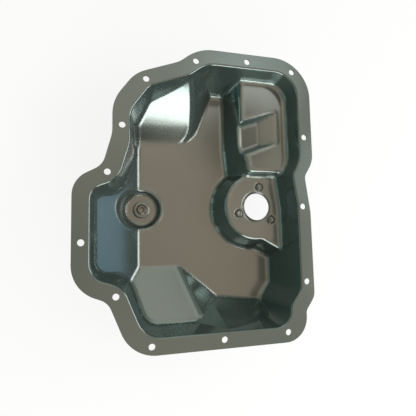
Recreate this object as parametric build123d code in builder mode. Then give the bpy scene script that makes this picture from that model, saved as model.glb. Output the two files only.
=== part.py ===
"""Pressed engine oil pan with its sensor studs, weld nut, drain washer and drain plug.

Millimetres, +Z up. X and Y are zero at the middle of the flange outline, and Z is zero
at the lowest face of the drain plug head. The gasket face is the top of the flange.
"""

import os
from math import cos, hypot, radians, sin, tan

from build123d import *

os.makedirs("parts", exist_ok=True)

# Sheet and levels, depths are measured down from the gasket face
SHEET = 1.5
SUMP_DEPTH = 65
PLATEAU_DEPTH = 36
SHELF_DEPTH = 24
CHANNEL_DEPTH = 32.5
RECESS_STEP = 6
WALL_DRAFT = 10
OVERRUN = 12  # raised blocks run this far below the sump floor
PUNCH = 1  # hole tools start this far above the sheet and end this far below it
FOOT_R = 4.5  # where walls, blocks and slopes meet the areas below them
RIM_R = 3
RIM_SPAN = 36  # the recess rim lies within this of the drain axis
MOUTH_R = 2.5
EDGE_R = 5
SMOOTH_ANGLE = 12  # areas that meet at less than this flow into each other
LOBE_SLOPE = 36.2
CHANNEL_DRAFT = 30
CHANNEL_SCOOP = 12.1  # the far end of the channel climbs by this
RECESS_DRAFT = 20
RECESS_FLOOR_R = 2

# Drain thread parts
DRAIN_X = -62.5
DRAIN_Y = -12
RECESS_R = 21.25
NUT_R = 9.8
NUT_HEIGHT = 6
PLUG_THREAD_R = 6
THREAD_CLEARANCE = 0.07
THREAD_LEAD = 1
NUT_LEAD = 0.6
PLUG_STAND = 1.5
DRAIN_HOLE_R = 6.5
WASHER_R = 9.5
WASHER_HOLE_R = 6.3
WASHER_THICKNESS = 1.5
HEAD_ACROSS_FLATS = 17
HEAD_HEIGHT = 7
COLLAR_HEIGHT = 1.5
COLLAR_R = 9.5
HEAD_CONE = 60
HEAD_CONE_R = HEAD_ACROSS_FLATS / 2 - 0.3
TIP_BORE_R = 3.2
TIP_BORE_DEPTH = 5

GASKET_Z = SUMP_DEPTH + RECESS_STEP + SHEET + WASHER_THICKNESS + HEAD_HEIGHT
RECESS_Z = GASKET_Z - SUMP_DEPTH - RECESS_STEP

# Sensor opening on the plateau
SENSOR_X = 79.5
SENSOR_Y = -10.3
SENSOR_R = 17
PLATEAU_R = 41.5
STUD_CIRCLE_R = 25.5
STUD_START_ANGLE = 80
STUD_R = 3
STUD_KNURL_R = 3.3  # pressed into the sheet
STUD_HEAD_R = 5
STUD_HEAD_HEIGHT = 1.6
STUD_LENGTH = 16
STUD_HEAD_CHAMFER = 0.5
STUD_TIP_CHAMFER = 0.7

# Flange
SCREW_HOLE_R = 3.5
FLANGE_CORNERS = [
    ((140.7, 171.5), 48),
    ((-1.9, 171.5), 52),
    ((-25.6, 153), 35),
    ((-75.5, 134.4), 40),
    ((-100.2, 101), 46),
    ((-100.2, 65), 40),
    ((-110.1, 29.5), 20),
    ((-140.7, 13.3), 27),
    ((-140.7, -100.6), 37),
    ((-104.1, -114), 19),
    ((-80.2, -171.5), 40),
    ((123.5, -171.5), 28),
    ((123.5, -137.1), 10),
    ((135.2, -120.4), 17),
    ((134.8, -20), 60),
    ((129, 24), 12),
    ((140.7, 42.3), 32),
]
SCREW_HOLES = [
    (-5.8, 156),
    (57.7, 162),
    (117.1, 155.3),
    (130.6, 72.9),
    (124.9, -13.2),
    (126, -103.1),
    (99, -160.1),
    (21, -161.8),
    (-59.3, -162.4),
    (-96.1, -108.8),
    (-131.2, -52.3),
    (-105.2, 22.3),
    (-89.8, 74.5),
    (-63.7, 128.6),
]

# Mouth of the pan, corner and radius at the gasket face
MOUTH_CORNERS = [
    ((123.5, 153.7), 30),
    ((6.9, 153.7), 36),
    ((-12.7, 138.4), 25),
    ((-59.6, 121), 18),
    ((-81, 91), 30),
    ((-81, 55), 40),
    ((-93.3, 14.3), 30),
    ((-122.3, 3.5), 16),
    ((-122.3, -88.8), 22),
    ((-88.4, -98.9), 26),
    ((-65.7, -153.7), 29),
    ((104, -153.7), 19),
    ((104, -131), 10),
    ((118.5, -111), 20),
    ((118.5, -13), 50),
    ((113, 25), 14),
    ((123.5, 46), 30),
]

# Raised areas of the bottom, corner and radius of the block that lifts them
PLATEAU_CORNERS = [
    ((SENSOR_X + 75, SENSOR_Y + PLATEAU_R), 3),
    ((SENSOR_X - PLATEAU_R, SENSOR_Y + PLATEAU_R), PLATEAU_R - 0.5),
    ((SENSOR_X - PLATEAU_R, SENSOR_Y - PLATEAU_R), PLATEAU_R - 0.5),
    ((SENSOR_X + 8, SENSOR_Y - PLATEAU_R), 16),
    ((SENSOR_X + 34, SENSOR_Y - PLATEAU_R - 15), 16),
    ((SENSOR_X + 75, SENSOR_Y - PLATEAU_R - 15), 3),
]
SHELF_TOP_CORNERS = [
    ((57, 190), 8),
    ((57, 66), 20),
    ((64, 44), 8),
    ((64, 32.5), 8),
    ((160, 32.5), 8),
    ((160, 190), 8),
]
SHELF_FOOT_CORNERS = [
    ((44, 190), 12),
    ((44, 66), 60),
    ((44.8, 44), 60),
    ((44.8, 20), 22),
    ((160, 20), 12),
    ((160, 190), 12),
]
FRONT_CORNERS = [
    ((-40, -176), 1),
    ((31, -156.2), 1),
    ((89, -163.7), 1),
    ((150, -171.4), 1),
    ((150, -240), 1),
    ((-40, -240), 1),
]
SIDE_CORNERS = [
    ((-85.8, 70), 3),
    ((-78.7, 148), 3),
    ((-160, 148), 3),
    ((-160, 70), 3),
]
CHANNEL_CORNERS = [
    ((36, 91), 2),
    ((60, 97), 14),
    ((87, 106), 14),
    ((112, 114), 4),
    ((112, 74), 4),
    ((36, 43.5), 2),
]


def plan(corners):
    """Flat face on XY through the corners, each with its own radius."""
    with BuildSketch() as sketch:
        with BuildLine():
            FilletPolyline(*[point for point, _ in corners], radius=[r for _, r in corners], close=True)
        make_face()
    return sketch.sketch


def level(depth):
    """Plane parallel to the gasket face at a depth below it."""
    return Plane.XY.offset(GASKET_Z - depth)


def well(grow):
    """Straight drafted well under the whole mouth."""
    drop = grow / tan(radians(WALL_DRAFT))
    with BuildPart() as body:
        with BuildSketch(level(drop)) as mouth:
            add(plan(MOUTH_CORNERS))
        extrude(amount=-(SUMP_DEPTH + grow - drop), taper=WALL_DRAFT)
        if grow:
            extrude(mouth.sketch, amount=drop, taper=-WALL_DRAFT)
    return body.part


def from_drain(edge):
    """Distance of the middle of an edge from the drain axis."""
    return hypot((edge @ 0.5).X - DRAIN_X, (edge @ 0.5).Y - DRAIN_Y)


def creases(body):
    """Edges below the mouth where two areas of the form meet at an angle."""
    sides = {}
    for face in body.faces():
        for edge in face.edges():
            sides.setdefault(edge, []).append(face)
    found = ShapeList()
    for edge, faces in sides.items():
        if len(faces) == 2 and edge.center().Z < GASKET_Z - MOUTH_R:
            turn = faces[0].normal_at(edge @ 0.5).get_angle(faces[1].normal_at(edge @ 0.5))
            if turn > SMOOTH_ANGLE:
                found.append(edge)
    return found


def raised_block(grow, corners, depth, draft, edge_r):
    """Flat-topped block with drafted sides that lifts one area of the bottom."""
    with BuildPart() as body:
        with BuildSketch(level(depth + grow)):
            add(plan(corners))
            if grow:
                offset(amount=-grow)
        extrude(amount=-(SUMP_DEPTH - depth + OVERRUN), taper=-draft)
        if edge_r:
            fillet(body.faces().sort_by(Axis.Z)[-1].edges(), edge_r - grow)
    return body.part


def shelf(grow):
    """High shelf in the back corner, its side leaning more at the back."""
    with BuildPart() as body:
        with BuildSketch(level(SHELF_DEPTH + grow)):
            add(plan(SHELF_TOP_CORNERS))
            if grow:
                offset(amount=-grow)
        with BuildSketch(level(SUMP_DEPTH + OVERRUN + grow)):
            add(plan(SHELF_FOOT_CORNERS))
            if grow:
                offset(amount=-grow)
        loft(ruled=True)
        fillet(body.faces().sort_by(Axis.Z)[-1].edges(), EDGE_R - grow)
    return body.part


def side_slope(grow):
    """Flat slope that climbs from the sump into the side lobe."""
    drop = tan(radians(LOBE_SLOPE))
    shift = grow / cos(radians(LOBE_SLOPE))
    foot_x = -66
    reach_x = -150
    with BuildPart() as body:
        with BuildSketch(Plane.XZ.offset(-100)):
            with BuildLine():
                Polyline(
                    (reach_x, GASKET_Z - SUMP_DEPTH + (foot_x - reach_x) * drop - shift),
                    (foot_x + 15, GASKET_Z - SUMP_DEPTH - 15 * drop - shift),
                    (reach_x, GASKET_Z - SUMP_DEPTH - 15 * drop - shift),
                    close=True,
                )
            make_face()
        extrude(amount=210)
    return body.part


def back_slope(grow):
    """Curved ramp behind the drain that rises to the back wall."""
    crest_depth = 8
    draft = 30
    inset = (SUMP_DEPTH - crest_depth) * tan(radians(draft))
    turn = radians(68)
    foot_y = 72
    crest_y = foot_y + inset
    start = (-1 - inset * sin(turn), foot_y + inset * cos(turn))
    climb = (crest_y - start[1]) / sin(turn)
    corner_x = start[0] + climb * cos(turn)
    arc_r = 160
    arc_y = foot_y - arc_r * sin(radians(25))
    arc_z = GASKET_Z - SUMP_DEPTH + arc_r * cos(radians(25))
    with BuildPart() as body:
        with BuildSketch(level(crest_depth + grow)):
            with BuildLine():
                FilletPolyline(
                    (-160, crest_y),
                    (corner_x, crest_y),
                    (corner_x + 120 * cos(turn), crest_y + 120 * sin(turn)),
                    (-160, crest_y + 120 * sin(turn)),
                    radius=3,
                    close=True,
                )
            make_face()
            if grow:
                offset(amount=-grow)
        extrude(amount=-(SUMP_DEPTH - crest_depth + OVERRUN), taper=-draft)
        with BuildSketch(Plane.YZ.offset(-200)):
            with BuildLine():
                sweep_line = CenterArc((arc_y, arc_z), arc_r + grow, -120, 118)
                Line(sweep_line @ 1, sweep_line @ 0)
            make_face()
        extrude(amount=400, mode=Mode.SUBTRACT)
        face = body.faces().filter_by(GeomType.CYLINDER).sort_by(SortBy.AREA)[-1]
        lip = [e for e in face.edges() if e.geom_type != GeomType.LINE and -59 < e.center().X < 60]
        fillet([e for e in lip if e.length > 5], 12 - grow)
    return body.part


def front_slope(grow):
    """Straight ramp that rises from the sump floor to the front wall."""
    crest_depth = 25
    draft = 50
    pitch = 23.6
    foot_x = -18
    foot_y = -82
    turn = radians(-40)
    inset = (SUMP_DEPTH - crest_depth) * tan(radians(draft))
    near_x = foot_x + inset * sin(turn)
    near_y = foot_y - inset * cos(turn)
    rise = tan(radians(pitch))
    shift = grow / cos(radians(pitch))
    low = (near_x + 220 * cos(turn), near_y + 220 * sin(turn))
    high = (near_x - 220 * cos(turn), near_y - 220 * sin(turn))
    with BuildPart() as body:
        with BuildSketch(level(crest_depth + grow)):
            with BuildLine():
                Polyline(high, low, (-260, low[1]), (-260, high[1]), close=True)
            make_face()
            if grow:
                offset(amount=-grow)
        extrude(amount=-(SUMP_DEPTH - crest_depth + OVERRUN), taper=-draft)
        with BuildSketch(Plane.YZ.offset(-450)):
            with BuildLine():
                Polyline(
                    (300, GASKET_Z - SUMP_DEPTH - shift + (foot_y - 300) * rise),
                    (-350, GASKET_Z - SUMP_DEPTH - shift + (foot_y + 350) * rise),
                    (-350, GASKET_Z + 300),
                    (300, GASKET_Z + 300),
                    close=True,
                )
            make_face()
        extrude(amount=900, mode=Mode.SUBTRACT)
        ramp = [f for f in body.faces() if abs(f.normal_at().Y - sin(radians(pitch))) < 0.02]
        top = ShapeList(ramp).sort_by(SortBy.AREA)[-1]
        lip = [e for e in top.edges() if abs((e % 0).X) > 0.1 and abs((e % 0).Y) > 0.1]
        fillet(lip, 14 - grow)
    return body.part


def channel(grow):
    """Shallow channel across the shelf, its far end scooped back up."""
    brim = 4  # the tool starts this far above the shelf
    scoop_x = 84
    scoop_end_x = 114
    bottom = GASKET_Z - CHANNEL_DEPTH - grow
    with BuildPart() as body:
        with BuildSketch(level(SHELF_DEPTH - brim)):
            add(plan(CHANNEL_CORNERS))
            offset(amount=grow + brim * tan(radians(CHANNEL_DRAFT)))
        extrude(amount=-(CHANNEL_DEPTH - SHELF_DEPTH + brim + grow), taper=CHANNEL_DRAFT)
        with BuildSketch(Plane.XZ.offset(-150)):
            with BuildLine():
                Polyline(
                    (scoop_x + grow, bottom),
                    (scoop_end_x + grow, bottom + CHANNEL_SCOOP),
                    (scoop_end_x + OVERRUN, bottom + CHANNEL_SCOOP),
                    (scoop_end_x + OVERRUN, bottom - OVERRUN),
                    (scoop_x + grow, bottom - OVERRUN),
                    close=True,
                )
            make_face()
        extrude(amount=200, mode=Mode.SUBTRACT)
    return body.part


def recess(grow):
    """Round drafted recess that holds the weld nut below the floor."""
    with BuildPart() as body:
        with BuildSketch(level(SUMP_DEPTH + RECESS_STEP + grow)):
            with Locations((DRAIN_X, DRAIN_Y)):
                Circle(RECESS_R + grow)
        extrude(amount=RECESS_STEP + 2 * OVERRUN, taper=-RECESS_DRAFT)
        fillet(body.faces().sort_by(Axis.Z)[0].edges(), RECESS_FLOOR_R + grow)
    return body.part


def form(grow):
    """Solid shape of the hollow, grown outward for the far side of the sheet."""
    with BuildPart() as body:
        add(well(grow))
        for block in (
            shelf(grow),
            raised_block(grow, PLATEAU_CORNERS, PLATEAU_DEPTH, 18, EDGE_R),
            side_slope(grow),
            back_slope(grow),
            front_slope(grow),
        ):
            add(block, mode=Mode.SUBTRACT)
        fillet(creases(body), FOOT_R + grow)
        for block in (
            raised_block(grow, FRONT_CORNERS, 0, 26.5, 0),
            raised_block(grow, SIDE_CORNERS, 0, 16, 0),
        ):
            add(block, mode=Mode.SUBTRACT)
        add(channel(grow))
        add(recess(grow))
        fillet(creases(body).filter_by(lambda edge: from_drain(edge) < RIM_SPAN), RIM_R - grow)
    return body.part


with BuildPart() as oil_pan:
    with BuildSketch(level(SHEET)):
        add(plan(FLANGE_CORNERS))
        with Locations(*SCREW_HOLES):
            Circle(SCREW_HOLE_R, mode=Mode.SUBTRACT)
    extrude(amount=SHEET)
    add(form(SHEET))
    add(form(0), mode=Mode.SUBTRACT)
    with BuildSketch(level(PLATEAU_DEPTH - PUNCH)):
        with Locations((SENSOR_X, SENSOR_Y)):
            Circle(SENSOR_R)
            with PolarLocations(STUD_CIRCLE_R, 3, start_angle=STUD_START_ANGLE):
                Circle(STUD_KNURL_R)
    extrude(amount=-SHEET - 2 * PUNCH, mode=Mode.SUBTRACT)
    with BuildSketch(level(SUMP_DEPTH + RECESS_STEP - PUNCH)):
        with Locations((DRAIN_X, DRAIN_Y)):
            Circle(DRAIN_HOLE_R)
    extrude(amount=-SHEET - 2 * PUNCH, mode=Mode.SUBTRACT)
    gasket_face = oil_pan.faces().filter_by(Axis.Z).group_by(Axis.Z)[-1].sort_by(SortBy.AREA)[-1]
    mouth_edge = gasket_face.inner_wires().sort_by(SortBy.LENGTH)[-1].edges()
    fillet(mouth_edge, MOUTH_R)
oil_pan.part.label = "oil_pan"
export_step(oil_pan.part, "parts/oil_pan.step")

with BuildPart() as sensor_stud:
    for from_depth, reach, radius in (
        (PLATEAU_DEPTH, STUD_HEAD_HEIGHT, STUD_HEAD_R),
        (PLATEAU_DEPTH, -SHEET, STUD_KNURL_R),
        (PLATEAU_DEPTH + SHEET, SHEET - STUD_LENGTH, STUD_R),
    ):
        with BuildSketch(level(from_depth)):
            with Locations((SENSOR_X, SENSOR_Y)):
                with PolarLocations(STUD_CIRCLE_R, 1, start_angle=STUD_START_ANGLE):
                    Circle(radius)
        extrude(amount=reach)
    chamfer(sensor_stud.edges().group_by(Axis.Z)[-1], STUD_HEAD_CHAMFER)
    chamfer(sensor_stud.edges().group_by(Axis.Z)[0], STUD_TIP_CHAMFER)
for number in range(3):
    stud = sensor_stud.part.rotate(Axis((SENSOR_X, SENSOR_Y, 0), (0, 0, 1)), 120 * number)
    stud.label = f"sensor_stud_{number + 1}"
    export_step(stud, f"parts/{stud.label}.step")

with BuildPart() as drain_nut:
    with BuildSketch(Plane.XY.offset(RECESS_Z)):
        with Locations((DRAIN_X, DRAIN_Y)):
            Circle(NUT_R)
            Circle(PLUG_THREAD_R + THREAD_CLEARANCE, mode=Mode.SUBTRACT)
    extrude(amount=NUT_HEIGHT)
    nut_rims = drain_nut.edges().group_by(Axis.Z)[-1].filter_by(GeomType.CIRCLE).sort_by(SortBy.RADIUS)
    chamfer(nut_rims[0], NUT_LEAD)
    chamfer(nut_rims[-1], THREAD_LEAD)
drain_nut.part.label = "drain_nut"
export_step(drain_nut.part, "parts/drain_nut.step")

with BuildPart() as drain_washer:
    with BuildSketch(Plane.XY.offset(HEAD_HEIGHT)):
        with Locations((DRAIN_X, DRAIN_Y)):
            Circle(WASHER_R)
            Circle(WASHER_HOLE_R, mode=Mode.SUBTRACT)
    extrude(amount=WASHER_THICKNESS)
drain_washer.part.label = "drain_washer"
export_step(drain_washer.part, "parts/drain_washer.step")

with BuildPart() as drain_plug:
    with BuildSketch(Plane.XY):
        with Locations((DRAIN_X, DRAIN_Y)):
            RegularPolygon(HEAD_ACROSS_FLATS / 2, 6, major_radius=False)
    extrude(amount=HEAD_HEIGHT - COLLAR_HEIGHT)
    with BuildSketch(Plane.XY):
        with Locations((DRAIN_X, DRAIN_Y)):
            Circle(HEAD_CONE_R)
    extrude(amount=HEAD_HEIGHT, taper=-HEAD_CONE, mode=Mode.INTERSECT)
    with BuildSketch(Plane.XY.offset(HEAD_HEIGHT - COLLAR_HEIGHT)):
        with Locations((DRAIN_X, DRAIN_Y)):
            Circle(COLLAR_R)
    extrude(amount=COLLAR_HEIGHT)
    with BuildSketch(Plane.XY.offset(HEAD_HEIGHT)):
        with Locations((DRAIN_X, DRAIN_Y)):
            Circle(PLUG_THREAD_R)
    extrude(amount=WASHER_THICKNESS + SHEET + NUT_HEIGHT + PLUG_STAND)
    tip = drain_plug.edges().group_by(Axis.Z)[-1]
    chamfer(tip, THREAD_LEAD)
    with BuildSketch(drain_plug.faces().sort_by(Axis.Z)[-1]):
        Circle(TIP_BORE_R)
    extrude(amount=-TIP_BORE_DEPTH, mode=Mode.SUBTRACT)
drain_plug.part.label = "drain_plug"
export_step(drain_plug.part, "parts/drain_plug.step")
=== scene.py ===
"""Looks of a pressed engine oil pan, with its sensor studs, weld nut, drain washer and drain plug.

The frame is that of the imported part, in metres: +Z up towards the engine, Z zero at the drain plug head.
Pieces and finishes hold millimetres and degrees, and the studio holds metres and degrees.
"""

import logging
import math
from dataclasses import dataclass
from enum import Enum

import bpy
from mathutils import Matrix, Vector


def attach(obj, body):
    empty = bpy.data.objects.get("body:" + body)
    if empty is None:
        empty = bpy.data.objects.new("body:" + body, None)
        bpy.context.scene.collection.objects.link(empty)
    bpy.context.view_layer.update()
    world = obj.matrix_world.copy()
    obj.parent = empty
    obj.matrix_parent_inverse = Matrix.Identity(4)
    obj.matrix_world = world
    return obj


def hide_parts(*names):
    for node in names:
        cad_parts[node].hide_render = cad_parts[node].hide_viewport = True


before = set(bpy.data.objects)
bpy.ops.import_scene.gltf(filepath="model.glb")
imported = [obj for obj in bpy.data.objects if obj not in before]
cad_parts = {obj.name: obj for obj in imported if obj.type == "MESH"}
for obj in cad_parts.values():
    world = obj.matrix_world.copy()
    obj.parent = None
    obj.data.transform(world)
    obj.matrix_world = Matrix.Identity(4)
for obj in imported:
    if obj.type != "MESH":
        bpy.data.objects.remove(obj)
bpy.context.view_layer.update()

log = logging.getLogger("oil_pan_scene")

Pair = tuple[float, float]
Triple = tuple[float, float, float]
Profile = list[Pair]
Node = bpy.types.Node
Socket = bpy.types.NodeSocket

MM = 0.001
GASKET_Z = 81 * MM
DRAIN = (-62.5 * MM, -12 * MM)
SENSOR = (79.5 * MM, -10.3 * MM)
MERGE_GAP = 0.002 * MM
SHADE_ANGLE = 35.0
RIDGE_OVER_CIRCLE = 1.5  # height of an even triangle over the radius of the circle round it


class Tint(Enum):
    """Named colours of the finishes and of the studio, linear RGB."""

    COAT = (0.172, 0.186, 0.170)
    COAT_LIGHT = (0.190, 0.196, 0.180)
    # painted reflection: teal tint laid on steep walls for the room that they mirror, not a colour of the
    # coat
    COAT_WALL_REFLECTION = (0.180, 0.238, 0.230)
    COAT_FLANGE = (0.140, 0.166, 0.158)
    ZINC = (0.22, 0.22, 0.20)
    ZINC_DULL = (0.15, 0.15, 0.135)
    ALUMINIUM = (0.62, 0.62, 0.61)
    FLOOR = (0.80, 0.80, 0.80)
    WHITE = (1.0, 1.0, 1.0)
    ROOM = (0.50, 0.54, 0.47)
    CEILING = (0.98, 0.81, 0.66)
    CEILING_SHADE = (0.54, 0.56, 0.49)
    CEILING_LOW = (0.84, 0.70, 0.56)
    CEILING_HIGH = (1.22, 1.05, 0.90)
    DARK_CORNER = (0.30, 0.42, 0.38)
    PALE_WALL = (1.15, 1.20, 1.10)
    BRIGHT_WALL = (2.00, 2.05, 2.00)
    BLUE_WALL = (0.36, 0.62, 0.82)
    WARM_GREY = (0.74, 0.74, 0.60)
    WARM_SHADE = (0.34, 0.30, 0.23)
    BLACK_GAP = (0.05, 0.07, 0.05)

    def opaque(self) -> tuple[float, float, float, float]:
        """Give the colour with a full alpha, as sockets take it."""
        return (*self.value, 1.0)


class Body(Enum):
    """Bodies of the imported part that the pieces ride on."""

    PAN = "pan"
    WASHER = "washer"
    PLUG = "plug"


class Cut(Enum):
    """What a cut leaves of a piece."""

    OUTSIDE = "DIFFERENCE"
    INSIDE = "INTERSECT"


class Rule(Enum):
    """Ways in which a node works out one value."""

    SIZE = "ABSOLUTE"
    PRODUCT = "MULTIPLY"
    LARGER = "MAXIMUM"


@dataclass(frozen=True)
class Wiring:
    """Nodes of one material or of the room, with the steps that repeat in them."""

    tree: bpy.types.NodeTree

    def add(self, kind: str) -> Node:
        """Add a node."""
        return self.tree.nodes.new(kind)

    def join(self, source: Socket, target: Socket) -> None:
        """Feed one socket from another."""
        self.tree.links.new(source, target)

    def height(self, vector: Socket) -> Socket:
        """Take the Z part of a vector.

        Args:
            vector: The vector.

        Returns:
            Its Z part.
        """
        split = self.add("ShaderNodeSeparateXYZ")
        self.join(vector, split.inputs["Vector"])
        return split.outputs["Z"]

    def work_out(self, rule: Rule, first: Socket, second: Socket | float = 0.0) -> Socket:
        """Work out one value from one or two others.

        Args:
            rule: How it is worked out.
            first: The first value.
            second: The second value, a socket or a plain number, which a rule of one value ignores.

        Returns:
            The result.
        """
        working = self.add("ShaderNodeMath")
        working.operation = rule.value
        self.join(first, working.inputs[0])
        if isinstance(second, float):
            working.inputs[1].default_value = second
        else:
            self.join(second, working.inputs[1])
        return working.outputs["Value"]

    def carry(self, value: Socket, source: Pair, target: Pair = (0.0, 1.0), eased: bool = False) -> Socket:
        """Carry a value from one range to another.

        Args:
            value: The value.
            source: The range that it comes from.
            target: The range that it goes to, and stays within.
            eased: Whether it starts and stops softly.

        Returns:
            The value in its new range.
        """
        spread = self.add("ShaderNodeMapRange")
        if eased:
            spread.interpolation_type = "SMOOTHSTEP"
        for name, end in zip(("From Min", "From Max", "To Min", "To Max"), (*source, *target)):
            spread.inputs[name].default_value = end
        self.join(value, spread.inputs["Value"])
        return spread.outputs["Result"]

    def noise(self, place: Node, scale: float, detail: float) -> Socket:
        """Spread noise over a piece by its Object coordinates.

        Args:
            place: Texture coordinates of the piece.
            scale: Scale of the noise.
            detail: Its fineness.

        Returns:
            The noise, about a half on average.
        """
        grain = self.add("ShaderNodeTexNoise")
        grain.inputs["Scale"].default_value = scale
        grain.inputs["Detail"].default_value = detail
        self.join(place.outputs["Object"], grain.inputs["Vector"])
        return grain.outputs["Fac"]

    def paint(self, share: Socket, under: Tint | Socket, over: Tint) -> Socket:
        """Paint a tint over a colour.

        Args:
            share: How much of the tint shows, from none at zero to all at one.
            under: The colour below, a tint or the output of a node.
            over: The tint.

        Returns:
            The painted colour.
        """
        mix = self.add("ShaderNodeMix")
        mix.data_type = "RGBA"
        if isinstance(under, Tint):
            mix.inputs["A"].default_value = under.opaque()
        else:
            self.join(under, mix.inputs["A"])
        mix.inputs["B"].default_value = over.opaque()
        self.join(share, mix.inputs["Factor"])
        return mix.outputs["Result"]

    def choose(self, share: Socket, first: Socket, second: Socket) -> Socket:
        """Show one shader or another.

        Args:
            share: How much of the second shader shows.
            first: The first shader.
            second: The second shader.

        Returns:
            The shader that shows.
        """
        choice = self.add("ShaderNodeMixShader")
        self.join(share, choice.inputs["Fac"])
        self.join(first, choice.inputs[1])
        self.join(second, choice.inputs[2])
        return choice.outputs["Shader"]


@dataclass(frozen=True)
class MetalFinish:
    """Coated or bare metal with a soft uneven sheen.

    The creases of a form are rounded in shading where soft_radius isn't zero. Steep walls get a painted
    reflection tint where one is given. The two numbers of level_to_wall say how upright a normal is on
    level areas and on walls, from one to zero.
    """

    name: str
    base: Tint
    shade: Tint
    metallic: float
    roughness: float
    grain_scale: float
    bump: float
    # painted reflection: tint laid over steep walls, standing in for the teal room that they mirror
    wall_reflection: Tint | None = None
    level_to_wall: Pair = (0.95, 0.45)
    rim: Tint | None = None
    rim_heights: Pair = (78.5, 80.5)
    soft_radius: float = 0.0
    soft_heights: Pair = (66.0, 76.0)
    soft_samples: int = 16
    rim_radius: float = 0.2
    wall_share: float = 0.4
    cloud_scale: float = 22.0
    cloud_detail: float = 3.0
    cloud_range: Pair = (0.3, 0.7)
    sheen_range: Pair = (0.85, 1.15)
    grain_detail: float = 2.0
    grain_depth: float = 0.4

    def steepness(self, wiring: Wiring, place: Node) -> Socket:
        """Tell level areas from drawn walls.

        Args:
            wiring: Nodes of the material.
            place: Its texture coordinates.

        Returns:
            Zero on level areas, rising to one on walls.
        """
        upright = wiring.work_out(Rule.SIZE, wiring.height(place.outputs["Normal"]))
        return wiring.carry(upright, self.level_to_wall)

    def soften(self, wiring: Wiring, place: Node) -> Socket:
        """Round the creases of the form as the press does, less on walls and hardly at the mouth.

        Args:
            wiring: Nodes of the material.
            place: Its texture coordinates.

        Returns:
            The rounded normal.
        """
        low, high = self.soft_heights
        height = wiring.height(place.outputs["Object"])
        radius = wiring.carry(height, (low * MM, high * MM), (self.soft_radius * MM, self.rim_radius * MM))
        share = wiring.carry(self.steepness(wiring, place), (0.0, 1.0), (1.0, self.wall_share))
        rounding = wiring.add("ShaderNodeBevel")
        rounding.samples = self.soft_samples
        wiring.join(wiring.work_out(Rule.PRODUCT, radius, share), rounding.inputs["Radius"])
        return rounding.outputs["Normal"]

    def colour(self, wiring: Wiring, place: Node, cloud: Socket) -> Socket:
        """Mix the two colours of the metal, then lay a painted teal reflection over its walls and the
        colour of its gasket face.

        Args:
            wiring: Nodes of the material.
            place: Its texture coordinates.
            cloud: Noise that mixes the two colours.

        Returns:
            The colour.
        """
        colour = wiring.paint(cloud, self.base, self.shade)
        # painted reflection on steep walls, not a colour of the metal
        if self.wall_reflection:
            colour = wiring.paint(self.steepness(wiring, place), colour, self.wall_reflection)
        if self.rim:
            low, high = self.rim_heights
            raised = wiring.carry(wiring.height(place.outputs["Object"]), (low * MM, high * MM))
            colour = wiring.paint(raised, colour, self.rim)
        return colour

    def make(self) -> bpy.types.Material:
        """Build the node material.

        Returns:
            The material, which reads Object coordinates and the normal only.
        """
        material = bpy.data.materials.new(self.name)
        material.use_nodes = True
        wiring = Wiring(material.node_tree)
        wiring.tree.nodes.clear()
        output = wiring.add("ShaderNodeOutputMaterial")
        shader = wiring.add("ShaderNodeBsdfPrincipled")
        shader.inputs["Metallic"].default_value = self.metallic
        wiring.join(shader.outputs["BSDF"], output.inputs["Surface"])
        place = wiring.add("ShaderNodeTexCoord")
        cloud = wiring.noise(place, self.cloud_scale, self.cloud_detail)
        wiring.join(self.colour(wiring, place, cloud), shader.inputs["Base Color"])
        low, high = self.sheen_range
        sheen = wiring.carry(cloud, self.cloud_range, (self.roughness * low, self.roughness * high))
        wiring.join(sheen, shader.inputs["Roughness"])
        bump = wiring.add("ShaderNodeBump")
        bump.inputs["Strength"].default_value = self.bump
        bump.inputs["Distance"].default_value = self.grain_depth * MM
        wiring.join(wiring.noise(place, self.grain_scale, self.grain_detail), bump.inputs["Height"])
        if self.soft_radius:
            wiring.join(self.soften(wiring, place), bump.inputs["Normal"])
        wiring.join(bump.outputs["Normal"], shader.inputs["Normal"])
        return material


COATED_SHEET = MetalFinish(
    "coated_sheet",
    Tint.COAT,
    Tint.COAT_LIGHT,
    metallic=0.8,
    roughness=0.15,
    grain_scale=90.0,
    bump=0.003,
    # painted reflection on the drawn walls
    wall_reflection=Tint.COAT_WALL_REFLECTION,
    rim=Tint.COAT_FLANGE,
    soft_radius=7.0,
)
COATED_NUT = MetalFinish(
    "coated_nut",
    Tint.COAT,
    Tint.COAT_LIGHT,
    metallic=0.8,
    roughness=0.24,
    grain_scale=600.0,
    bump=0.10,
)
COATED_STUD = MetalFinish(
    "coated_stud",
    Tint.COAT,
    Tint.COAT_LIGHT,
    metallic=0.8,
    roughness=0.22,
    grain_scale=600.0,
    bump=0.10,
)
ZINC_PLATE = MetalFinish(
    "zinc_plate",
    Tint.ZINC,
    Tint.ZINC_DULL,
    metallic=1.0,
    roughness=0.30,
    grain_scale=500.0,
    bump=0.10,
)
SOFT_ALUMINIUM = MetalFinish(
    "soft_aluminium",
    Tint.ALUMINIUM,
    Tint.ZINC,
    metallic=1.0,
    roughness=0.34,
    grain_scale=500.0,
    bump=0.10,
)


def dress(piece: bpy.types.Object, material: bpy.types.Material) -> None:
    """Give a piece one material only.

    Args:
        piece: The piece.
        material: Its finish.
    """
    piece.data.materials.clear()
    piece.data.materials.append(material)


def pick(*pieces: bpy.types.Object) -> None:
    """Select some pieces and nothing else.

    Args:
        pieces: The pieces, of which the last becomes the active one.
    """
    bpy.ops.object.select_all(action="DESELECT")
    for piece in pieces:
        piece.select_set(True)
    bpy.context.view_layer.objects.active = pieces[-1]


def around(axis: Pair, radius: float, degrees: float) -> Pair:
    """Find a place on a circle round an upright axis.

    Args:
        axis: X and Y of the axis in metres.
        radius: Radius of the circle in millimetres.
        degrees: Angle from +X.

    Returns:
        X and Y of the place in metres.
    """
    angle = math.radians(degrees)
    return (axis[0] + radius * MM * math.cos(angle), axis[1] + radius * MM * math.sin(angle))


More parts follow.
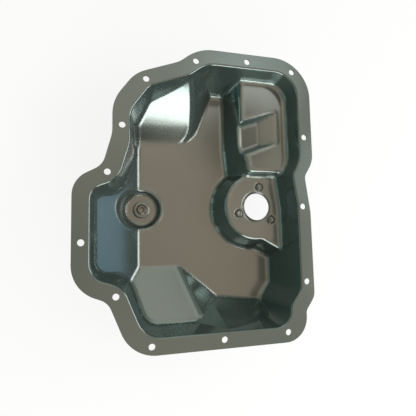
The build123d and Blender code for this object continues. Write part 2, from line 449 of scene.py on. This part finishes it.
def turned(name: str, axis: Pair, outline: Profile, facets: int) -> bpy.types.Object:
    """Turn an outline about an upright axis, as on a lathe.

    Args:
        name: Name of the piece.
        axis: X and Y of the axis in metres.
        outline: Radius and height of each point in millimetres, in order.
        facets: Facets round the axis.

    Returns:
        The turned piece, with its place in its mesh.
    """
    bpy.ops.object.select_all(action="DESELECT")
    bpy.ops.mesh.primitive_plane_add(size=MM, location=(0, 0, 0))
    piece = bpy.context.active_object
    piece.name = name
    bpy.ops.object.mode_set(mode="EDIT")
    bpy.ops.mesh.select_all(action="SELECT")
    bpy.ops.mesh.merge(type="CENTER")
    radius, height = outline[0]
    bpy.ops.transform.translate(value=(axis[0] + radius * MM, axis[1], height * MM))
    for next_radius, next_height in outline[1:]:
        step = ((next_radius - radius) * MM, 0, (next_height - height) * MM)
        bpy.ops.mesh.extrude_region_move(TRANSFORM_OT_translate={"value": step})
        radius, height = next_radius, next_height
    bpy.ops.mesh.select_all(action="SELECT")
    bpy.ops.mesh.spin(steps=facets, angle=2 * math.pi, center=(*axis, 0), axis=(0, 0, 1))
    bpy.ops.mesh.select_all(action="SELECT")
    bpy.ops.mesh.remove_doubles(threshold=MERGE_GAP)
    bpy.ops.mesh.normals_make_consistent(inside=False)
    bpy.ops.object.mode_set(mode="OBJECT")
    return piece


def smooth(piece: bpy.types.Object, degrees: float = SHADE_ANGLE) -> None:
    """Shade a piece smooth, with its edges over an angle kept sharp.

    Args:
        piece: The piece.
        degrees: The angle.
    """
    pick(piece)
    bpy.ops.object.shade_smooth_by_angle(angle=math.radians(degrees))


def cut(piece: bpy.types.Object, tool: bpy.types.Object, kept: Cut) -> None:
    """Cut a piece with a tool that is then removed.

    Args:
        piece: The piece.
        tool: The solid that cuts.
        kept: What stays of the piece.
    """
    pick(piece)
    knife = piece.modifiers.new("knife", "BOOLEAN")
    knife.operation = kept.value
    knife.object = tool
    knife.solver = "EXACT"
    bpy.ops.object.modifier_apply(modifier="knife")
    bpy.data.objects.remove(tool)


@dataclass(frozen=True)
class Thread:
    """Screw thread: the radius over its crests, the depth of its ridge and its pitch."""

    crest: float
    depth: float
    pitch: float
    steps: int = 40

    def core(self) -> float:
        """Give the radius of the shank under the ridge."""
        return self.crest - self.depth

    def wind(self, piece: bpy.types.Object, axis: Pair, low: float, length: float) -> None:
        """Wind the ridge round a shank and join it to the piece.

        Args:
            piece: The piece that carries the thread.
            axis: X and Y of the axis in metres.
            low: Height of the first turn in millimetres.
            length: Room for the turns in millimetres, of which whole turns are used.
        """
        circle = self.depth / RIDGE_OVER_CIRCLE
        bpy.ops.object.select_all(action="DESELECT")
        bpy.ops.mesh.primitive_circle_add(
            vertices=3,
            radius=circle * MM,
            fill_type="NOTHING",
            location=(*axis, low * MM),
            rotation=(math.pi / 2, 0, 0),
        )
        ridge = bpy.context.active_object
        bpy.ops.object.transform_apply(location=False, rotation=True, scale=True)
        bpy.ops.object.mode_set(mode="EDIT")
        bpy.ops.mesh.select_all(action="SELECT")
        bpy.ops.transform.rotate(value=-math.pi / 2, orient_axis="Y", center_override=(*axis, low * MM))
        bpy.ops.transform.translate(value=((self.crest - circle) * MM, 0, 0))
        bpy.ops.object.mode_set(mode="OBJECT")
        winding = ridge.modifiers.new("winding", "SCREW")
        winding.axis = "Z"
        winding.screw_offset = self.pitch * MM
        winding.iterations = int(length / self.pitch)
        winding.steps = self.steps
        winding.render_steps = self.steps
        winding.use_merge_vertices = False
        bpy.ops.object.modifier_apply(modifier="winding")
        bpy.ops.object.transform_apply(location=True, rotation=True, scale=True)
        bpy.ops.object.mode_set(mode="EDIT")
        bpy.ops.mesh.select_all(action="SELECT")
        bpy.ops.mesh.fill_holes(sides=3)
        bpy.ops.mesh.select_all(action="SELECT")
        bpy.ops.mesh.normals_make_consistent(inside=False)
        bpy.ops.object.mode_set(mode="OBJECT")
        pick(ridge, piece)
        bpy.ops.object.join()


@dataclass
class PressedPan:
    """The stamped sheet, shown as its own solid in the coat of the real one."""

    node: str = "oil_pan"

    def build(self) -> list[bpy.types.Object]:
        """Dress the pan.

        Returns:
            The pan as it is shown.
        """
        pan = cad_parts[self.node]
        dress(pan, COATED_SHEET.make())
        return [pan]


@dataclass
class SensorStuds:
    """Three studs pressed into the plateau, their heads up and their threads below."""

    circle_radius: float = 25.5
    first_angle: float = 80.0
    count: int = 3
    facets: int = 48
    seat: float = 45.0
    sheet: float = 1.5
    length: float = 16.0
    head_radius: float = 5.0
    head_height: float = 1.6
    dimple_depth: float = 1.2
    dimple_radius: float = 1.8
    land_radius: float = 3.0
    land_edge: Pair = (0.3, 0.2)
    groove_radii: Pair = (4.0, 4.2)
    groove_floor: float = 0.05
    brim_height: float = 1.0
    brim_edge: Pair = (0.15, 0.1)
    knurl_radius: float = 3.3
    relief: float = 0.3
    tip_chamfer: float = 0.6
    thread: Thread = Thread(crest=3.0, depth=0.45, pitch=1.0)
    thread_start: float = 0.9
    thread_spare: float = 1.6

    def outline(self) -> Profile:
        """Draw half a stud.

        Returns:
            The outline, from the dimple in the head to the tip.
        """
        top = self.seat + self.head_height
        brim = self.seat + self.brim_height
        groove = self.seat + self.groove_floor
        underside = self.seat - self.sheet
        tip = self.seat - self.length
        core = self.thread.core()
        edge_width, edge_drop = self.land_edge
        brim_width, brim_drop = self.brim_edge
        return [
            (0, top - self.dimple_depth),
            (self.dimple_radius - edge_width, top - edge_drop),
            (self.dimple_radius, top),
            (self.land_radius, top),
            (self.land_radius + edge_width, top - edge_drop),
            (self.groove_radii[0], groove),
            (self.groove_radii[1], groove),
            (self.head_radius - brim_width, brim),
            (self.head_radius, brim - brim_drop),
            (self.head_radius, self.seat),
            (self.knurl_radius, self.seat),
            (self.knurl_radius, underside),
            (core, underside - self.relief),
            (core, tip + self.tip_chamfer),
            (core - self.tip_chamfer, tip),
            (0, tip),
        ]

    def build(self) -> list[bpy.types.Object]:
        """Make the studs.

        Returns:
            The three studs.
        """
        finish = COATED_STUD.make()
        low = self.seat - self.length + self.thread_start
        threaded = self.length - self.sheet - self.thread_spare
        studs = []
        for index in range(self.count):
            axis = around(SENSOR, self.circle_radius, self.first_angle + index * 360 / self.count)
            stud = turned(f"stud_{index + 1}", axis, self.outline(), self.facets)
            self.thread.wind(stud, axis, low, threaded)
            smooth(stud)
            dress(stud, finish)
            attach(stud, Body.PAN.value)
            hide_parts(f"sensor_stud_{index + 1}")
            studs.append(stud)
        return studs


@dataclass
class WeldNut:
    """Round weld nut on the floor of the drain recess, with the four marks of its welding."""

    floor: float = 10.0
    height: float = 6.0
    radius: float = 9.8
    facets: int = 72
    bore: float = 6.07
    bore_chamfer: float = 0.6
    shoulder: float = 1.0
    shoulder_edge: Pair = (0.3, 0.35)
    foot_edge: Pair = (0.1, 0.3)
    marks: int = 4
    mark_circle: float = 7.9
    mark_radius: float = 0.8
    mark_lift: float = 0.2
    mark_facets: int = 16
    mark_rings: int = 8

    def outline(self) -> Profile:
        """Draw half the nut.

        Returns:
            The closed outline, round from the foot of the bore.
        """
        top = self.floor + self.height
        shoulder_width, shoulder_drop = self.shoulder_edge
        foot_width, foot_height = self.foot_edge
        return [
            (self.bore, self.floor),
            (self.bore, top - self.bore_chamfer),
            (self.bore + self.bore_chamfer, top),
            (self.radius - self.shoulder, top),
            (self.radius - shoulder_width, top - shoulder_drop),
            (self.radius, top - self.shoulder),
            (self.radius, self.floor + foot_height),
            (self.radius - foot_width, self.floor),
            (self.bore, self.floor),
        ]

    def build(self) -> list[bpy.types.Object]:
        """Make the nut.

        Returns:
            The nut.
        """
        nut = turned("weld_nut", DRAIN, self.outline(), self.facets)
        mark_height = self.floor + self.height + self.mark_lift
        for index in range(self.marks):
            place = around(DRAIN, self.mark_circle, index * 360 / self.marks)
            bpy.ops.object.select_all(action="DESELECT")
            bpy.ops.mesh.primitive_uv_sphere_add(
                segments=self.mark_facets,
                ring_count=self.mark_rings,
                radius=self.mark_radius * MM,
                location=(*place, mark_height * MM),
            )
            cut(nut, bpy.context.active_object, Cut.OUTSIDE)
        smooth(nut)
        dress(nut, COATED_NUT.make())
        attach(nut, Body.PAN.value)
        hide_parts("drain_nut")
        return [nut]


@dataclass
class DrainWasher:
    """Soft sealing washer, its rims rolled over."""

    low: float = 7.0
    thickness: float = 1.5
    bore: float = 6.3
    radius: float = 9.5
    roll: float = 0.35
    facets: int = 72
    shade_angle: float = 50.0

    def outline(self) -> Profile:
        """Draw half the washer.

        Returns:
            The closed outline, round from the foot of the bore.
        """
        top = self.low + self.thickness
        return [
            (self.bore, self.low + self.roll),
            (self.bore, top - self.roll),
            (self.bore + self.roll, top),
            (self.radius - self.roll, top),
            (self.radius, top - self.roll),
            (self.radius, self.low + self.roll),
            (self.radius - self.roll, self.low),
            (self.bore + self.roll, self.low),
            (self.bore, self.low + self.roll),
        ]

    def build(self) -> list[bpy.types.Object]:
        """Make the washer.

        Returns:
            The washer.
        """
        washer = turned("sealing_washer", DRAIN, self.outline(), self.facets)
        smooth(washer, self.shade_angle)
        dress(washer, SOFT_ALUMINIUM.make())
        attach(washer, Body.WASHER.value)
        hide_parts("drain_washer")
        return [washer]


@dataclass
class DrainPlug:
    """Hexagon screw with a collar, a full thread and a bored tip."""

    across_flats: float = 17.0
    head_height: float = 7.0
    head_overlap: float = 0.2
    corner_height: float = 2.2
    corner_inset: float = 0.3
    dish_insets: Pair = (2.2, 2.9)
    dish_depth: float = 0.45
    edge_round: float = 0.22
    edge_steps: int = 2
    edge_angle: float = 40.0
    blank_margin: float = 3.5
    blank_top: float = 8.0
    blank_facets: int = 96
    collar_height: float = 1.5
    collar_radius: float = 9.5
    collar_edge: float = 0.3
    neck_edge: Pair = (0.3, 0.6)
    tip: float = 17.5
    tip_edge: Pair = (0.4, 0.7)
    tip_bore: float = 3.2
    tip_bore_depth: float = 5.0
    tip_bore_round: float = 0.4
    tip_bore_lip: float = 0.3
    facets: int = 72
    thread: Thread = Thread(crest=6.0, depth=0.7, pitch=1.5)
    thread_start: float = 1.0
    thread_spare: float = 1.8

    def shank(self) -> bpy.types.Object:
        """Turn the collar, the core of the thread and the bored tip in one piece.

        Returns:
            The shank with its collar.
        """
        core = self.thread.core()
        seat = self.head_height
        collar_low = seat - self.collar_height
        bore_floor = self.tip - self.tip_bore_depth
        neck_width, neck_height = self.neck_edge
        tip_width, tip_drop = self.tip_edge
        outline = [
            (0, bore_floor),
            (self.tip_bore - self.tip_bore_round, bore_floor),
            (self.tip_bore, bore_floor + self.tip_bore_round),
            (self.tip_bore, self.tip - self.tip_bore_lip),
            (self.tip_bore + self.tip_bore_lip, self.tip),
            (core - tip_width, self.tip),
            (core, self.tip - tip_drop),
            (core, seat + neck_height),
            (core + neck_width, seat),
            (self.collar_radius - self.collar_edge, seat),
            (self.collar_radius, seat - self.collar_edge),
            (self.collar_radius, collar_low + self.collar_edge),
            (self.collar_radius - self.collar_edge, collar_low),
            (0, collar_low),
        ]
        return turned("plug", DRAIN, outline, self.facets)

    def blank(self) -> bpy.types.Object:
        """Turn the solid that cuts the hexagon to its corners and dish.

        Returns:
            The turned solid.
        """
        flat = self.across_flats / 2
        dish_rim, dish_foot = self.dish_insets
        outline = [
            (0, self.blank_top),
            (flat + self.blank_margin, self.blank_top),
            (flat + self.blank_margin, self.corner_height),
            (flat - self.corner_inset, 0.0),
            (flat - dish_rim, 0.0),
            (flat - dish_foot, self.dish_depth),
            (0, self.dish_depth),
        ]
        return turned("blank", DRAIN, outline, self.blank_facets)

    def head(self) -> bpy.types.Object:
        """Make the hexagon, with its lower corners turned off and a shallow dish in its face.

        Returns:
            The hexagon.
        """
        tall = self.head_height - self.collar_height + self.head_overlap
        half_side = math.pi / 6
        bpy.ops.object.select_all(action="DESELECT")
        bpy.ops.mesh.primitive_cylinder_add(
            vertices=6,
            radius=self.across_flats / 2 / math.cos(half_side) * MM,
            depth=tall * MM,
            location=(*DRAIN, tall / 2 * MM),
            rotation=(0, 0, half_side),
        )
        head = bpy.context.active_object
        bpy.ops.object.transform_apply(location=True, rotation=True, scale=True)
        cut(head, self.blank(), Cut.INSIDE)
        pick(head)
        rounding = head.modifiers.new("rounding", "BEVEL")
        rounding.width = self.edge_round * MM
        rounding.segments = self.edge_steps
        rounding.limit_method = "ANGLE"
        rounding.angle_limit = math.radians(self.edge_angle)
        bpy.ops.object.modifier_apply(modifier="rounding")
        return head

    def build(self) -> list[bpy.types.Object]:
        """Make the plug.

        Returns:
            The plug.
        """
        head = self.head()
        plug = self.shank()
        low = self.head_height + self.thread_start
        self.thread.wind(plug, DRAIN, low, self.tip - self.head_height - self.thread_spare)
        pick(head, plug)
        bpy.ops.object.join()
        smooth(plug)
        dress(plug, ZINC_PLATE.make())
        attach(plug, Body.PLUG.value)
        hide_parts("drain_plug")
        return [plug]


@dataclass(frozen=True)
class Card:
    """Patch of the room as the part sees it: where it is, how wide, how soft and in which colour."""

    azimuth: float
    elevation: float
    spread: float
    softness: float
    tint: Tint

    def towards(self) -> Vector:
        """Find the direction from the part to the card.

        Returns:
            The direction, one long.
        """
        az, el = math.radians(self.azimuth), math.radians(self.elevation)
        return Vector((math.cos(el) * math.cos(az), math.cos(el) * math.sin(az), math.sin(el)))

    def edge(self) -> Pair:
        """Find where the card starts and where it is full.

        Returns:
            The cosines of the two angles from its middle.
        """
        outer, inner = self.spread + self.softness, self.spread - self.softness
        return (math.cos(math.radians(outer)), math.cos(math.radians(inner)))


@dataclass(frozen=True)
class SoftBox:
    """Lamp with a wide face: its name, its place, its width and height, and its power in watts."""

    name: str
    place: Triple
    size: Pair
    power: float

    def hang(self) -> None:
        """Hang the lamp so that it looks at the middle of the gasket face."""
        data = bpy.data.lights.new(self.name, "AREA")
        data.shape = "RECTANGLE"
        data.size, data.size_y = self.size
        data.energy = self.power
        lamp = bpy.data.objects.new(self.name, data)
        lamp.location = self.place
        aim = Vector((0, 0, GASKET_Z)) - Vector(self.place)
        lamp.rotation_euler = aim.to_track_quat("-Z", "Y").to_euler()
        bpy.context.scene.collection.objects.link(lamp)


@dataclass
class Studio:
    """White room, pale floor, two soft boxes and the photograph's camera.

    Lengths are in metres, except the lens and its sensor, which are in millimetres. A card gives its
    azimuth, elevation, spread and softness in degrees. Later cards cover earlier ones.
    """

    eye: Triple = (-0.11299, -0.05646, 0.491)
    turn: Triple = (5.7876, -15.8997, -1.25)
    lens: float = 32.885
    sensor_width: float = 36.0
    nearest: float = 0.01
    floor_size: float = 6.0
    floor_roughness: float = 0.9
    floor_white: float = 0.85
    shade_reach: Pair = (0.16, 0.40)
    boxes: tuple[SoftBox, ...] = (
        SoftBox("side_box", place=(1.02, -0.02, 0.86), size=(1.0, 0.46), power=8.2),
        SoftBox("front_box", place=(0.31, -1.15, 0.61), size=(0.84, 0.65), power=10.3),
    )
    cards: tuple[Card, ...] = (
        Card(0, 90, 38, 12, Tint.CEILING),
        Card(-140, 87, 7, 5, Tint.CEILING_LOW),
        Card(180, 68, 14, 8, Tint.CEILING_SHADE),
        Card(121, 71, 6, 4, Tint.CEILING_HIGH),
        Card(76, 66, 7, 5, Tint.CEILING_HIGH),
        Card(180, 33, 26, 14, Tint.DARK_CORNER),
        Card(180, 2, 10, 8, Tint.PALE_WALL),
        Card(0, 4, 26, 12, Tint.BLUE_WALL),
        Card(45, 24, 20, 8, Tint.DARK_CORNER),
        Card(88, 28, 22, 8, Tint.PALE_WALL),
        Card(78, 54, 8, 4, Tint.PALE_WALL),
        Card(62, 41, 7, 4, Tint.DARK_CORNER),
        Card(48, 59, 6, 4, Tint.BRIGHT_WALL),
        Card(39, 64, 5, 2, Tint.WARM_SHADE),
        Card(19, 57, 4, 3, Tint.PALE_WALL),
        Card(-45, 20, 18, 8, Tint.BLACK_GAP),
        Card(-45, 50, 12, 8, Tint.WARM_GREY),
        Card(-90, 49, 9, 5, Tint.BLACK_GAP),
    )

    def camera(self) -> None:
        """Place the camera that took the photograph."""
        data = bpy.data.cameras.new("camera")
        data.sensor_width = self.sensor_width
        data.lens = self.lens
        data.clip_start = self.nearest
        camera = bpy.data.objects.new("camera", data)
        camera.location = self.eye
        camera.rotation_euler = [math.radians(angle) for angle in self.turn]
        bpy.context.scene.collection.objects.link(camera)
        bpy.context.scene.camera = camera

    def world(self) -> None:
        """Paint the room: white to the camera, soft cards for the reflections on the part."""
        world = bpy.data.worlds.new("studio")
        bpy.context.scene.world = world
        world.use_nodes = True
        wiring = Wiring(world.node_tree)
        wiring.tree.nodes.clear()
        output = wiring.add("ShaderNodeOutputWorld")
        room = wiring.add("ShaderNodeBackground")
        white = wiring.add("ShaderNodeBackground")
        white.inputs["Color"].default_value = Tint.WHITE.opaque()
        ray = wiring.add("ShaderNodeLightPath")
        shown = wiring.choose(
            ray.outputs["Is Camera Ray"], room.outputs["Background"], white.outputs["Background"]
        )
        wiring.join(shown, output.inputs["Surface"])
        place = wiring.add("ShaderNodeTexCoord")
        colour = Tint.ROOM
        for card in self.cards:
            facing = wiring.add("ShaderNodeVectorMath")
            facing.operation = "DOT_PRODUCT"
            facing.inputs[1].default_value = card.towards()
            wiring.join(place.outputs["Generated"], facing.inputs[0])
            cover = wiring.carry(facing.outputs["Value"], card.edge(), eased=True)
            colour = wiring.paint(cover, colour, card.tint)
        wiring.join(colour, room.inputs["Color"])

    def whiteness(self, wiring: Wiring) -> Socket:
        """Tell how white the floor shows, to the camera and in reflections beyond the part's own shade.

        Args:
            wiring: Nodes of the floor.

        Returns:
            The share of plain white.
        """
        ray = wiring.add("ShaderNodeLightPath")
        place = wiring.add("ShaderNodeTexCoord")
        reach = wiring.add("ShaderNodeVectorMath")
        reach.operation = "LENGTH"
        wiring.join(place.outputs["Object"], reach.inputs[0])
        unshaded = wiring.carry(reach.outputs["Value"], self.shade_reach)
        glossy, clear = ray.outputs["Is Glossy Ray"], ray.outputs["Is Transmission Ray"]
        mirrored = wiring.work_out(Rule.PRODUCT, wiring.work_out(Rule.LARGER, glossy, clear), unshaded)
        seen = wiring.work_out(Rule.LARGER, ray.outputs["Is Camera Ray"], mirrored)
        return wiring.work_out(Rule.PRODUCT, seen, self.floor_white)

    def floor(self) -> bpy.types.Object:
        """Lay the pale floor under the part, clear when it is seen from below.

        Returns:
            The floor.
        """
        bpy.ops.object.select_all(action="DESELECT")
        bpy.ops.mesh.primitive_plane_add(size=self.floor_size, location=(0, 0, 0))
        floor = bpy.context.active_object
        floor.name = "floor"
        material = bpy.data.materials.new("floor")
        material.use_nodes = True
        wiring = Wiring(material.node_tree)
        wiring.tree.nodes.clear()
        output = wiring.add("ShaderNodeOutputMaterial")
        shader = wiring.add("ShaderNodeBsdfPrincipled")
        shader.inputs["Base Color"].default_value = Tint.FLOOR.opaque()
        shader.inputs["Roughness"].default_value = self.floor_roughness
        glow = wiring.add("ShaderNodeEmission")
        glow.inputs["Color"].default_value = Tint.WHITE.opaque()
        top = wiring.choose(self.whiteness(wiring), shader.outputs["BSDF"], glow.outputs["Emission"])
        side = wiring.add("ShaderNodeNewGeometry")
        clear = wiring.add("ShaderNodeBsdfTransparent")
        shown = wiring.choose(side.outputs["Backfacing"], top, clear.outputs["BSDF"])
        wiring.join(shown, output.inputs["Surface"])
        floor.data.materials.append(material)
        return floor

    def build(self) -> None:
        """Set up camera, world, lamps and floor."""
        self.camera()
        self.world()
        for box in self.boxes:
            box.hang()
        self.floor()
        bpy.context.scene.view_settings.view_transform = "Standard"


def main() -> None:
    """Build every piece in order and report it."""
    logging.basicConfig(level=logging.INFO, format="%(name)s: %(message)s")
    for maker in (PressedPan(), SensorStuds(), WeldNut(), DrainWasher(), DrainPlug()):
        for piece in maker.build():
            log.info("%s: %d faces", piece.name, len(piece.data.polygons))
    Studio().build()


if __name__ == "__main__":
    main()
